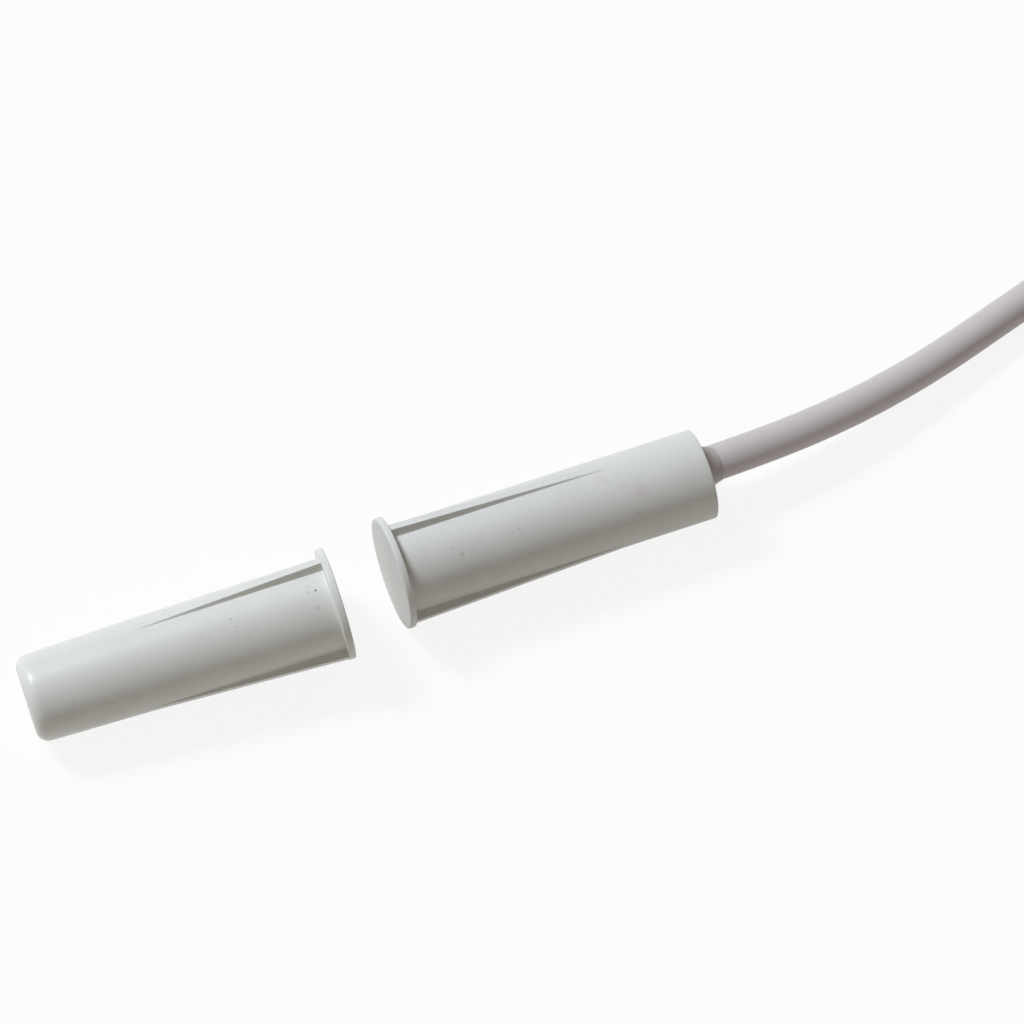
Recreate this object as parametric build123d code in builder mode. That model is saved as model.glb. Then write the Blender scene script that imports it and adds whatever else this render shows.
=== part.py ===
"""A recessed magnetic contact: a magnet half and a reed switch half with its cable.

Both halves are plastic thimbles with a thin flange and three tapered ribs that
wedge them into a drilled hole. They lie in line on a surface, flange towards
flange, as they would be set out before fitting. Millimetres, +Z up.
"""

import os
from math import asin, atan2, cos, degrees, hypot, pi, radians, sin, sqrt, tan

from build123d import *

os.makedirs("parts", exist_ok=True)

# Flanges and ribs, alike on both halves
rib_count = 3
rib_width = 0.9
rib_height = 0.72  # at the flange, running out to nothing
rib_roll = 29.0  # degrees from straight up to the first rib, away from the front
rim_round = 0.12

# Magnet half
magnet_length = 27.9
magnet_flange_d = 9.86
magnet_flange_t = 0.65
magnet_rear_d = 7.6
magnet_draft = 1.3  # degrees on each side, behind the ribs
magnet_rib_draft = 0.5  # degrees on each side, between the ribs
magnet_rear_round = 0.6
magnet_rib_length = 17.4
magnet_end_wall = 1.4
magnet_bore_d = 5.8
magnet_d = 5.0
rod_air = 4.5  # between the glue and the end wall
magnet_chamfer = 0.3
cap_d = 6.8
cap_t = 0.8
cap_clearance = 0.05
glue_behind = 1.2  # glue between the rod's end and the air space behind it
glue_grip = 4.0  # how far the glue comes up round the rod

# Switch half
switch_length = 28.6
switch_flange_d = 9.9
switch_flange_t = 0.6
barrel_d = 8.0
switch_rib_length = 19.8
front_wall = 0.9
barrel_wall = 0.8
mouth_chamfer = 0.15

# Reed switch and its board
board_clearance = 0.03
board_start = 1.0
board_to_resin = 1.6
board_width = 5.4
board_t = 0.8
track_t = 0.07
track_width = 0.7
glass_d = 2.0
glass_wall = 0.3
glass_seal = 1.3
glass_start = 2.9
glass_lift = 0.15  # above the board
lead_d = 0.5
lead_out = 1.1  # from the glass to the bend
lead_to_wires = 1.1  # from the rear lead to the cores' bare ends
blade_width = 0.9
blade_t = 0.25
blade_lap = 1.6
contact_gap = 0.1
solder_length = 1.5
solder_width = 1.0
solder_height = 0.75
solder_taper = 15.0
solder_corner = 0.4  # round of its corners, as a share of its width

# Cable, its cores and the resin that seals it in
cable_d = 3.2
cable_lift = 0.45  # above the barrel's axis
cable_aside = 0.35  # towards the back
sheath_in = 6.5  # from the mouth to the sheath's inner end
core_d = 1.0
core_spread = 0.55  # of the four cores about the cable's axis
wire_d = 0.5
core_straight = 0.8
core_fan = 2.6
core_fan_share = 0.75  # of the way aside, halfway along the fan
core_drop_share = 0.25  # of the way down, halfway along the fan
wire_bare = 1.6
pad_pitch = 1.3
resin_length = 5.6
resin_recess = 0.5  # below the mouth, at the wall
foot_base_d = 4.9
foot_waist_d = 3.7
foot_out = 0.85  # how far the resin climbs the cable past the mouth
foot_edge = 0.05
foot_ways = [(0.6, -1), (1, -0.1)]  # of the foot's outline at its base and at its tip

# How the halves lie
face_gap = 5.1
magnet_yaw = 2.4  # degrees
magnet_aside = 1.0

# The way of the cable over the surface after it has left the switch, to the coil
ROUTE = [
    (42.9, 1.71, 3.48),
    (52.6, 3.92, 2.22),
    (62.0, 6.93, 1.62),
    (72.0, 9.9, 1.6),
]
cable_straight = 2.0  # along the axis past the mouth

# The coil of the rest of the cable
coil_middle_d = 33.0
coil_columns = 4
coil_layers = 5
coil_pitch = 3.27
coil_chamfer = 0.9
coil_lead = 10.0  # from the route's last point to where the coil takes over
end_turn = 100.0  # degrees in which the last turn comes in from the coil
end_in = 3.35
tail_pitch = 1.15
tail_turn = 32.0  # degrees for each of the four stretches of a core's tail
tail_in = 0.5  # how much each stretch comes nearer to the middle
tail_start = 1.5
tail_raised = 0.9  # where an upper core comes down beside a lower one
tin_length = 4.5
floor_gap = 0.02

CORES = ["white", "brown", "green", "yellow"]
full_turn = 360.0
bend_share = 0.45  # of the shorter stretch beside a bend that the bend takes up

switch_flange_r = switch_flange_d / 2
magnet_flange_r = magnet_flange_d / 2
barrel_r = barrel_d / 2
bore_r = barrel_r - barrel_wall
magnet_rear_r = magnet_rear_d / 2
cable_r = cable_d / 2
core_r = core_d / 2
wire_r = wire_d / 2
lead_r = lead_d / 2
glass_r = glass_d / 2

# The switch half leans on its flange's back edge and on the edge of its mouth
switch_tilt = atan2(switch_flange_r - barrel_r, switch_length - switch_flange_t)
# The magnet half leans on its flange's back edge and on its rounded end
to_round = (
    magnet_length - magnet_rear_round - magnet_flange_t,
    magnet_flange_r - magnet_rear_r + magnet_rear_round,
)
magnet_tilt = atan2(to_round[1], to_round[0]) - asin(magnet_rear_round / hypot(*to_round))

# The origin lies under the middle of the pair
reach_left = face_gap + magnet_length * cos(magnet_tilt) * cos(radians(magnet_yaw))
reach_right = (switch_length + foot_out) * cos(switch_tilt)
switch_x = (reach_left - reach_right) / 2
switch_y = magnet_aside / 2


def housing_frame(x, y, flange_r, flange_t, tilt, heading):
    """A plane on the flange's face: its normal runs along the housing to the
    rear, sloping down by the tilt, and its x points up."""
    along = Vector(cos(heading) * cos(tilt), sin(heading) * cos(tilt), -sin(tilt))
    up = Vector(cos(heading) * sin(tilt), sin(heading) * sin(tilt), cos(tilt))
    height = flange_r * cos(tilt) + flange_t * sin(tilt)
    return Plane(origin=(x, y, height), x_dir=up, z_dir=along)


def lengthwise(frame, roll=0.0, up=0.0, aside=0.0):
    """A plane along the housing: x is the distance from the flange's face and y
    the distance from the axis, out at the roll angle, or from a line beside it."""
    out = frame.x_dir * cos(radians(roll)) + frame.y_dir * sin(radians(roll))
    origin = frame.origin + frame.x_dir * up + frame.y_dir * aside
    return Plane(origin=origin, x_dir=frame.z_dir, z_dir=frame.z_dir.cross(out))


def spot(frame, along, up=0.0, aside=0.0):
    """The point at that distance from the flange's face, above and beside the axis."""
    return frame.origin + frame.z_dir * along + frame.x_dir * up + frame.y_dir * aside


def bend_radii(points):
    """The largest smooth radius at each inner point of a route."""
    radii = []
    for before, here, after in zip(points, points[1:], points[2:]):
        run_in, run_out = Vector(here) - Vector(before), Vector(after) - Vector(here)
        half_turn = radians(run_in.get_angle(run_out)) / 2
        radii.append(bend_share * min(run_in.length, run_out.length) / tan(half_turn))
    return radii


switch_frame = housing_frame(
    switch_x, switch_y, switch_flange_r, switch_flange_t, switch_tilt, 0.0
)
magnet_frame = housing_frame(
    switch_x - face_gap,
    switch_y - magnet_aside,
    magnet_flange_r,
    magnet_flange_t,
    magnet_tilt,
    radians(180 - magnet_yaw),
)
switch_section = lengthwise(switch_frame)
magnet_section = lengthwise(magnet_frame)
switch_axis = Axis(switch_frame.origin, switch_frame.z_dir)
magnet_axis = Axis(magnet_frame.origin, magnet_frame.z_dir)

# Magnet housing: a thimble with draft, closed and rounded at the rear
magnet_tail = magnet_flange_t + magnet_rib_length
magnet_tail_r = magnet_rear_r + (magnet_length - magnet_tail) * tan(radians(magnet_draft))
magnet_root_r = magnet_tail_r + magnet_rib_length * tan(radians(magnet_rib_draft))
magnet_rib_foot = (magnet_bore_d + barrel_wall) / 2
with BuildPart() as magnet_housing:
    with BuildSketch(magnet_section):
        with BuildLine():
            Polyline(
                (0, 0),
                (0, magnet_flange_r),
                (magnet_flange_t, magnet_flange_r),
                (magnet_flange_t, magnet_root_r),
                (magnet_tail, magnet_tail_r),
                (magnet_length, magnet_rear_r),
                (magnet_length, 0),
                close=True,
            )
        make_face()
    revolve(axis=magnet_axis)
    rear_edge = magnet_housing.edges().filter_by(GeomType.CIRCLE).sort_by(magnet_axis)[-1]
    fillet(rear_edge, magnet_rear_round)
    for k in range(rib_count):
        rib_plane = lengthwise(magnet_frame, rib_roll + k * full_turn / rib_count)
        with BuildSketch(rib_plane):
            with BuildLine():
                Polyline(
                    (magnet_flange_t, magnet_rib_foot),
                    (magnet_flange_t, magnet_root_r + rib_height),
                    (magnet_tail, magnet_tail_r),
                    (magnet_tail, magnet_rib_foot),
                    close=True,
                )
            make_face()
        extrude(amount=rib_width / 2, both=True)
    with BuildSketch(magnet_frame):
        Circle(magnet_bore_d / 2)
    extrude(amount=magnet_length - magnet_end_wall, mode=Mode.SUBTRACT)
    with BuildSketch(magnet_frame):
        Circle(cap_d / 2)
    extrude(amount=cap_t, mode=Mode.SUBTRACT)
    front_rim = magnet_housing.edges().filter_by(GeomType.CIRCLE).group_by(magnet_axis)[0]
    fillet(front_rim.sort_by(SortBy.RADIUS)[-1], rim_round)

# Closing cap, flush with the flange's face
with BuildPart() as magnet_cap:
    with BuildSketch(magnet_frame):
        Circle(cap_d / 2 - cap_clearance)
    extrude(amount=cap_t)

# The magnet is a plain rod against the cap, with air between its glue and the end wall
rod_start = cap_t
rod_end = magnet_length - magnet_end_wall - rod_air - glue_behind
with BuildPart() as bar_magnet:
    with BuildSketch(magnet_frame.offset(rod_start)):
        Circle(magnet_d / 2)
    extrude(amount=rod_end - rod_start)
    chamfer(bar_magnet.edges().filter_by(GeomType.CIRCLE), magnet_chamfer)

# Glue holds the rod's inner end
with BuildPart() as magnet_glue:
    with BuildSketch(magnet_frame.offset(rod_end - glue_grip)):
        Circle(magnet_bore_d / 2)
    extrude(amount=glue_grip + glue_behind)
    add(bar_magnet.part, mode=Mode.SUBTRACT)

# Switch housing: a straight thimble with its closed end at the flange
switch_tail = switch_flange_t + switch_rib_length
switch_rib_foot = barrel_r - barrel_wall / 2
with BuildPart() as switch_housing:
    with BuildSketch(switch_section):
        with BuildLine():
            Polyline(
                (0, 0),
                (0, switch_flange_r),
                (switch_flange_t, switch_flange_r),
                (switch_flange_t, barrel_r),
                (switch_length, barrel_r),
                (switch_length, bore_r),
                (front_wall, bore_r),
                (front_wall, 0),
                close=True,
            )
        make_face()
    revolve(axis=switch_axis)
    for k in range(rib_count):
        rib_plane = lengthwise(switch_frame, -rib_roll + k * full_turn / rib_count)
        with BuildSketch(rib_plane):
            with BuildLine():
                Polyline(
                    (switch_flange_t, switch_rib_foot),
                    (switch_flange_t, barrel_r + rib_height),
                    (switch_tail, barrel_r),
                    (switch_tail, switch_rib_foot),
                    close=True,
                )
            make_face()
        extrude(amount=rib_width / 2, both=True)
    mouth = switch_housing.edges().filter_by(GeomType.CIRCLE).group_by(switch_axis)[-1]
    chamfer(mouth.sort_by(SortBy.RADIUS)[0], mouth_chamfer)
    face_rim = switch_housing.edges().filter_by(GeomType.CIRCLE).group_by(switch_axis)[0]
    fillet(face_rim.sort_by(SortBy.RADIUS)[-1], rim_round)

# Circuit board: its two lower edges rest in the bore
board_low = -sqrt(bore_r**2 - (board_width / 2) ** 2) + board_clearance
board_top = board_low + board_t
board_end = switch_length - resin_recess - resin_length - board_to_resin
with BuildPart() as circuit_board:
    with BuildSketch(switch_frame.offset(board_start)):
        with Locations((board_low + board_t / 2, 0)):
            Rectangle(board_t, board_width)
    extrude(amount=board_end - board_start)

# Places along the housing of the reed's leads and of the cores' ends
sheath_end = switch_length - sheath_in
core_end = sheath_end - 2 * core_straight - core_fan
pad_along = core_end - wire_bare + solder_length / 2
lead_rear = core_end - wire_bare - lead_to_wires
glass_end = lead_rear - lead_out
lead_front = glass_start - lead_out
pads_aside = [(k - (len(CORES) - 1) / 2) * pad_pitch for k in range(len(CORES))]

# Copper tracks: the two reed leads go to the outer cores, the inner two are a loop
board_face = Plane(
    origin=spot(switch_frame, 0, board_top), x_dir=switch_frame.z_dir, z_dir=switch_frame.x_dir
)
edge_track = (board_width - track_width) / 2 - board_clearance
track_end = pad_along + solder_length
with BuildPart() as board_tracks:
    with BuildSketch(board_face):
        with BuildLine():
            Polyline(
                (lead_front, 0),
                (lead_front, edge_track),
                (lead_rear, edge_track),
                (pad_along, -pads_aside[0]),
                (track_end, -pads_aside[0]),
            )
        trace(line_width=track_width)
        with BuildLine():
            Polyline((lead_rear, 0), (lead_rear, -pads_aside[3]), (track_end, -pads_aside[3]))
        trace(line_width=track_width)
        with BuildLine():
            Polyline(
                (track_end, -pads_aside[1]),
                (pad_along - solder_length / 2, -pads_aside[1]),
                (pad_along - solder_length / 2, -pads_aside[2]),
                (track_end, -pads_aside[2]),
            )
        trace(line_width=track_width)
    extrude(amount=track_t)
solder_floor = board_top + track_t

# Reed switch: two flat blades sealed in glass, overlapping with a small gap
reed_up = board_top + glass_lift + glass_r
reed_section = lengthwise(switch_frame, up=reed_up)
reed_axis = Axis(reed_section.origin, switch_frame.z_dir)
reed_middle = (glass_start + glass_end) / 2
with BuildPart() as reed_glass:
    with BuildSketch(reed_section):
        with BuildLine():
            Polyline(
                (glass_start, lead_r),
                (glass_start, glass_r),
                (glass_end, glass_r),
                (glass_end, lead_r),
                (glass_end - glass_seal, lead_r),
                (glass_end - glass_seal, glass_r - glass_wall),
                (glass_start + glass_seal, glass_r - glass_wall),
                (glass_start + glass_seal, lead_r),
                close=True,
            )
        make_face()
    revolve(axis=reed_axis)
    shoulders = reed_glass.edges().filter_by(GeomType.CIRCLE).group_by(reed_axis)
    for ring in (shoulders[0], shoulders[-1]):
        fillet(ring.sort_by(SortBy.RADIUS)[-1], glass_r / 2)


def reed_blade(glass_face, lead_at, side):
    """One blade with its lead: side is 1 for the front blade and -1 for the rear."""
    inner = glass_face + side * glass_seal
    tip = reed_middle + side * blade_lap / 2
    blade_mid = side * (contact_gap + blade_t) / 2
    corner = spot(switch_frame, lead_at, reed_up)
    with BuildPart() as blade:
        with BuildLine() as lead_path:
            FilletPolyline(
                spot(switch_frame, inner, reed_up),
                corner,
                spot(switch_frame, lead_at, solder_floor),
                radius=lead_d,
            )
        with BuildSketch(Plane(lead_path.line @ 0, z_dir=lead_path.line % 0)):
            Circle(lead_r)
        sweep()
        with BuildSketch(reed_section):
            with Locations(((inner + tip) / 2, blade_mid)):
                Rectangle(abs(tip - inner), blade_t)
        extrude(amount=blade_width / 2, both=True)
    return blade


reed_blade_front = reed_blade(glass_start, lead_front, 1)
reed_blade_rear = reed_blade(glass_end, lead_rear, -1)

# Cable cores inside the housing: out of the sheath's end, fanned to the pads
core_ends = [(1, -1), (-1, -1), (-1, 1), (1, 1)]
cable_side = -cable_aside  # the frame's y points to the front
core_up = solder_floor + core_r + board_clearance
cores, wires = [], []
for (up, aside), pad in zip(core_ends, pads_aside):
    start_up = cable_lift + up * core_spread
    start_aside = cable_side + aside * core_spread
    fan_up = start_up + core_drop_share * (core_up - start_up)
    fan_aside = start_aside + core_fan_share * (pad - start_aside)
    route = [
        spot(switch_frame, sheath_end, start_up, start_aside),
        spot(switch_frame, sheath_end - core_straight, start_up, start_aside),
        spot(switch_frame, (sheath_end + core_end) / 2, fan_up, fan_aside),
        spot(switch_frame, core_end + core_straight, core_up, pad),
        spot(switch_frame, core_end, core_up, pad),
    ]
    with BuildPart() as core:
        with BuildLine() as core_path:
            FilletPolyline(*route, radius=bend_radii(route))
        with BuildSketch(Plane(core_path.line @ 0, z_dir=core_path.line % 0)):
            Circle(core_r)
        sweep()
    cores.append(core)
    with BuildPart() as wire:
        with BuildSketch(switch_frame.offset(core_end - wire_bare)):
            with Locations((core_up, pad)):
                Circle(wire_r)
        extrude(amount=wire_bare)
    wires.append(wire)

with BuildPart() as bare_wires:
    for wire in wires:
        add(wire.part)

# Solder on each pad and on the two reed leads
solder_face = board_face.offset(track_t)
solder_places = [(pad_along, -pad) for pad in pads_aside]
solder_places += [(lead_front, 0), (lead_rear, 0)]
with BuildPart() as solder_joints:
    with BuildSketch(solder_face):
        with Locations(*solder_places):
            RectangleRounded(solder_length, solder_width, solder_width * solder_corner)
    extrude(amount=solder_height, taper=solder_taper)
    for metal in (bare_wires, reed_blade_front, reed_blade_rear):
        add(metal.part, mode=Mode.SUBTRACT)

# Coil of the rest of the cable, wound clockwise from its outer turn
lead_in = (Vector(*ROUTE[-1]) - Vector(*ROUTE[-2])).normalized()
lead_in = Vector(lead_in.X, lead_in.Y, 0).normalized()
to_centre = Vector(lead_in.Y, -lead_in.X, 0)
outer_turn_r = coil_middle_d / 2 + (coil_columns - 1) / 2 * coil_pitch
inner_turn_r = outer_turn_r - (coil_columns - 1) * coil_pitch
coil_touch = Vector(*ROUTE[-1]) + lead_in * coil_lead
coil_centre = coil_touch + to_centre * outer_turn_r
coil_height = cable_d + (coil_layers - 1) * coil_pitch
coil_start = degrees(atan2(-to_centre.Y, -to_centre.X))


def on_coil(radius, turned, height):
    """The point that far round the coil from its start, clockwise."""
    angle = radians(coil_start - turned)
    return (
        coil_centre.X + radius * cos(angle),
        coil_centre.Y + radius * sin(angle),
        height,
    )


with BuildPart() as cable_coil:
    coil_side = Plane(origin=(coil_centre.X, coil_centre.Y, 0), x_dir=(1, 0, 0), z_dir=(0, -1, 0))
    with BuildSketch(coil_side):
        with Locations((coil_middle_d / 2, coil_height / 2)):
            coil_profile = Rectangle(outer_turn_r - inner_turn_r + cable_d, coil_height)
        chamfer(coil_profile.vertices(), coil_chamfer)
    revolve(axis=Axis((coil_centre.X, coil_centre.Y, 0), (0, 0, 1)))

# Cable between the switch and the coil
cable_points = [
    spot(switch_frame, sheath_end, cable_lift, cable_side),
    spot(switch_frame, switch_length + cable_straight, cable_lift, cable_side),
    *ROUTE,
]
cable_radii = bend_radii(cable_points)
with BuildPart() as cable:
    with BuildLine() as cable_path:
        FilletPolyline(*cable_points, radius=cable_radii)
    with BuildSketch(Plane(cable_path.line @ 0, z_dir=cable_path.line % 0)):
        Circle(cable_r)
    sweep()
cable_run = cable_path.wires()[0].length
print("cable radii", [round(r, 1) for r in cable_radii], "length", round(cable_run, 2))
print(
    "cable volume",
    round(cable.part.volume, 2),
    "and section by length",
    round(pi * cable_r**2 * cable_run, 2),
)
with cable:
    add(cable_coil.part, mode=Mode.SUBTRACT)

# Resin plug in the mouth, drawn up round the cable
cable_section = lengthwise(switch_frame, up=cable_lift, aside=cable_side)
cable_axis = Axis(cable_section.origin, switch_frame.z_dir)
resin_face = switch_length - resin_recess
foot_tip = switch_length + foot_out
with BuildPart() as potting_resin:
    with BuildSketch(switch_frame.offset(resin_face - resin_length)):
        Circle(bore_r)
    extrude(amount=resin_length)
    with BuildSketch(cable_section):
        with BuildLine():
            base = (resin_face, foot_base_d / 2)
            waist = (switch_length, foot_waist_d / 2)
            tip = (foot_tip, cable_r + foot_edge)
            Spline(base, waist, tip, tangents=foot_ways)
            Polyline(tip, (foot_tip, 0), (resin_face - resin_recess, 0))
            Polyline((resin_face - resin_recess, 0), (resin_face - resin_recess, base[1]), base)
        make_face()
    revolve(axis=cable_axis)
    add(cable.part, mode=Mode.SUBTRACT)

# The sheath's end, which comes in from the coil's inner turn
end_height = cable_r + floor_gap
end_points = [
    on_coil(inner_turn_r - end_in * share**2, end_turn * share, end_height)
    for share in (0, 1 / 3, 2 / 3, 1)
]
end_radii = bend_radii(end_points)
with BuildPart() as cable_end:
    with BuildLine() as end_path:
        FilletPolyline(*end_points, radius=end_radii)
    with BuildSketch(Plane(end_path.line @ 0, z_dir=end_path.line % 0)):
        Circle(cable_r)
    sweep()
    add(cable_coil.part, mode=Mode.SUBTRACT)
print("end radii", [round(r, 1) for r in end_radii])

# Four core tails on the surface inside the coil, their ends stripped and tinned
end_point, end_way = end_path.line @ 1, end_path.line % 1
end_side = Vector(end_way.Y, -end_way.X, 0)  # towards the coil's centre
tail_height = core_r + floor_gap
tails, tins = [], []
for k, (up, aside) in enumerate([(-1, -1), (1, -1), (1, 1), (-1, 1)]):
    turn_r = inner_turn_r - end_in + (1 - k) * tail_pitch
    start = end_point + Vector(0, 0, up * core_spread) + end_side * aside * core_spread
    route = [start, start + end_way * tail_start]
    for n in (1, 2, 3, 4):
        raised = tail_raised if n == 1 and up > 0 else 0.0
        place = (turn_r - tail_in * n, end_turn + tail_turn * n, tail_height + raised)
        route.append(on_coil(*place))
    with BuildPart() as tail:
        with BuildLine() as tail_path:
            FilletPolyline(*route, radius=bend_radii(route))
        with BuildSketch(Plane(tail_path.line @ 0, z_dir=tail_path.line % 0)):
            Circle(core_r)
        sweep()
    tails.append(tail)
    with BuildPart() as tin:
        with BuildSketch(Plane(tail_path.line @ 1, z_dir=tail_path.line % 1)):
            Circle(wire_r)
        extrude(amount=tin_length)
    tins.append(tin)

with BuildPart() as tinned_ends:
    for tin in tins:
        add(tin.part)

magnet_housing.part.label = "magnet_housing"
export_step(magnet_housing.part, "parts/magnet_housing.step")
magnet_cap.part.label = "magnet_cap"
export_step(magnet_cap.part, "parts/magnet_cap.step")
bar_magnet.part.label = "bar_magnet"
export_step(bar_magnet.part, "parts/bar_magnet.step")
magnet_glue.part.label = "magnet_glue"
export_step(magnet_glue.part, "parts/magnet_glue.step")
switch_housing.part.label = "switch_housing"
export_step(switch_housing.part, "parts/switch_housing.step")
circuit_board.part.label = "circuit_board"
export_step(circuit_board.part, "parts/circuit_board.step")
board_tracks.part.label = "board_tracks"
export_step(board_tracks.part, "parts/board_tracks.step")
reed_glass.part.label = "reed_glass"
export_step(reed_glass.part, "parts/reed_glass.step")
reed_blade_front.part.label = "reed_blade_front"
export_step(reed_blade_front.part, "parts/reed_blade_front.step")
reed_blade_rear.part.label = "reed_blade_rear"
export_step(reed_blade_rear.part, "parts/reed_blade_rear.step")
solder_joints.part.label = "solder_joints"
export_step(solder_joints.part, "parts/solder_joints.step")
bare_wires.part.label = "bare_wires"
export_step(bare_wires.part, "parts/bare_wires.step")
potting_resin.part.label = "potting_resin"
export_step(potting_resin.part, "parts/potting_resin.step")
cable.part.label = "cable"
export_step(cable.part, "parts/cable.step")
cable_coil.part.label = "cable_coil"
export_step(cable_coil.part, "parts/cable_coil.step")
cable_end.part.label = "cable_end"
export_step(cable_end.part, "parts/cable_end.step")
tinned_ends.part.label = "tinned_ends"
export_step(tinned_ends.part, "parts/tinned_ends.step")
for colour, core, tail in zip(CORES, cores, tails):
    core.part.label = f"core_{colour}"
    export_step(core.part, f"parts/core_{colour}.step")
    tail.part.label = f"tail_{colour}"
    export_step(tail.part, f"parts/tail_{colour}.step")
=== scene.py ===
"""Looks of a recessed magnetic contact: a magnet half, and a reed switch half with its cable.

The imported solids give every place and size. This file turns the two moulded thimbles, the
resin foot and the cable into finished surfaces, gives each piece its material, and sets the
camera, the floor and the light. The classes hold their sizes in millimetres, and MM turns
them into the metres of the frame.
"""

import logging
from dataclasses import dataclass
from enum import Enum
from math import asin, atan2, cos, hypot, pi, radians, sin, tan
from typing import ClassVar, Mapping, Sequence

import bmesh
import bpy
import numpy as np
from bpy.types import ID, Material, Node, NodeSocket, NodeTree, Object
from mathutils import Matrix, Vector


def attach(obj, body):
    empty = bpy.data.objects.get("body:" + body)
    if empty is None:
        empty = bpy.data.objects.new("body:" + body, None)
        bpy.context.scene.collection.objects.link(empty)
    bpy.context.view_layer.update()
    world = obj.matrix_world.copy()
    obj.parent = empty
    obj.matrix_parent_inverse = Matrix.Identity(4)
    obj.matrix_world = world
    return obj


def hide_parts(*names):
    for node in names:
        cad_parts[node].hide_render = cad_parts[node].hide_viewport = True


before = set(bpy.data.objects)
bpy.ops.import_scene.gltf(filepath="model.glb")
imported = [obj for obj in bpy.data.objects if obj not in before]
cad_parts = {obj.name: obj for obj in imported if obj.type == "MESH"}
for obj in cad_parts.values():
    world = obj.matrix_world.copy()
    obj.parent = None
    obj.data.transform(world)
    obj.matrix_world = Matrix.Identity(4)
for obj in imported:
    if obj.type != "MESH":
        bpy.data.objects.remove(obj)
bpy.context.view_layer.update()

log = logging.getLogger("magnetic_contact")

MM = 0.001
BODY = "root"
WHITE = (1.0, 1.0, 1.0, 1.0)
MERGE_MM = 1e-4  # points closer than this become one
HAIR = 1e-6  # slack in a comparison
SHARP_ANGLE = radians(50)  # an edge that turns by more stays sharp

# a node's inputs; a colour mix has its share at 0 and its colours at 6 and 7, and gives 2
Inputs = Mapping[int | str, object]


class CoreColour(Enum):
    """Insulation colours of the four cores, as sRGB hex."""

    WHITE = "#E4E2DA"
    BROWN = "#6A4128"
    GREEN = "#2F7D45"
    YELLOW = "#E3C02E"

    @property
    def word(self) -> str:
        """The colour's name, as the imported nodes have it."""
        return self.name.lower()


def channels(hex_colour: str) -> np.ndarray:
    """Red, green and blue of a hex colour, each from 0 to 255."""
    return np.array([int(hex_colour[i : i + 2], 16) for i in (1, 3, 5)])


def linear(hex_colour: str) -> tuple[float, float, float, float]:
    """Turns an sRGB hex colour into the linear RGBA that shaders read.

    Args:
        hex_colour: six hex digits after a hash sign.

    Returns:
        Linear red, green, blue and an alpha of 1.
    """
    parts = channels(hex_colour) / 255
    light = np.where(parts <= 0.04045, parts / 12.92, ((parts + 0.055) / 1.055) ** 2.4)
    return (float(light[0]), float(light[1]), float(light[2]), 1.0)


def per_metre(size_mm: float) -> float:
    """Pattern scale on Object coordinates for details of that size in millimetres."""
    return 1.0 / (size_mm * MM)


def fill(tree: NodeTree, node: Node, sockets: Inputs) -> None:
    """Gives a node's inputs their values and links.

    Args:
        tree: the node's tree.
        node: the node.
        sockets: inputs by name or number, each with a value or another node's output.
    """
    for key, value in sockets.items():
        if isinstance(value, NodeSocket):
            tree.links.new(value, node.inputs[key])
        else:
            node.inputs[key].default_value = value


def add_node(tree: NodeTree, kind: str, sockets: Inputs | None = None, **settings: object) -> Node:
    """Adds one node with its settings, values and links.

    Args:
        tree: the node tree that gets the node.
        kind: the node's type, such as ShaderNodeTexNoise.
        sockets: its inputs, as for fill.
        settings: the node's own properties.

    Returns:
        The new node.
    """
    node = tree.nodes.new(kind)
    for name, value in settings.items():
        setattr(node, name, value)
    fill(tree, node, sockets or {})
    return node


def new_object(name: str, data: ID) -> Object:
    """Makes an object and links it to the scene.

    Args:
        name: the object's name.
        data: its mesh, curve, camera or lamp.

    Returns:
        The object.
    """
    made = bpy.data.objects.new(name, data)
    bpy.context.scene.collection.objects.link(made)
    return made


@dataclass(frozen=True)
class Stain:
    """A faint mark on a plastic surface, round a point on it."""

    at_mm: tuple[float, float, float]
    reach_mm: float
    colour: str
    strength: float


@dataclass(frozen=True)
class Finish:
    """What every finish shares: one named material on one principled shader."""

    name: str
    slot: str
    colour: str
    roughness: float

    def paint(self, tree: NodeTree, spot: NodeSocket) -> Inputs:
        """Adds the nodes and names the shader's inputs; each kind of finish has its own."""
        raise NotImplementedError

    def material(self) -> Material:
        """The material, made when it is first asked for.

        Returns:
            The one material of this finish.
        """
        made = bpy.data.materials.get(self.name)
        if made is None:
            made = bpy.data.materials.new(self.name)
            made.use_nodes = True
            made.diffuse_color = linear(self.colour)
            tree = made.node_tree
            spot = add_node(tree, "ShaderNodeTexCoord").outputs["Object"]
            plain = {"Base Color": linear(self.colour), "Roughness": self.roughness}
            fill(tree, tree.nodes["Principled BSDF"], {**plain, **self.paint(tree, spot)})
        return made

    def dress(self, piece: Object) -> None:
        """Puts the material on a piece.

        Args:
            piece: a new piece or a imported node.
        """
        if piece.material_slots:
            for place in piece.material_slots:
                place.material = self.material()
        else:
            piece.data.materials.append(self.material())


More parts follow.
